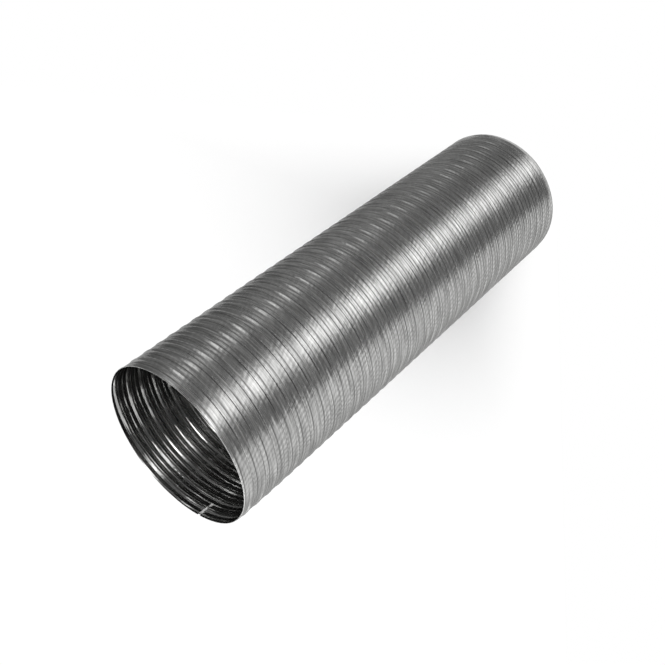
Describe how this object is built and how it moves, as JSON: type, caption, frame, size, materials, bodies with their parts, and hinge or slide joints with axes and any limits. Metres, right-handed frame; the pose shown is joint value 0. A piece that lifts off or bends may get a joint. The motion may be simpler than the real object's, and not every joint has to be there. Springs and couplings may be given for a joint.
{
  "type": "flexible flue liner",
  "caption": "Length of round corrugated metal flue liner, spirally wound from thin strip with a locked seam, open and cut square at both ends.",
  "frame": {"origin": "centre of the lower cut end, on the surface that the liner stands on", "axes": "+Z along the liner's axis, up to the mouth that the picture shows; the picture's camera is on the -Y side"},
  "size_m": [0.1556, 0.1556, 0.5],
  "materials": {
    "stainless_strip": "satin"
  },
  "bodies": {
    "root": {"liner": "stainless_strip"}
  },
  "joints": []
}
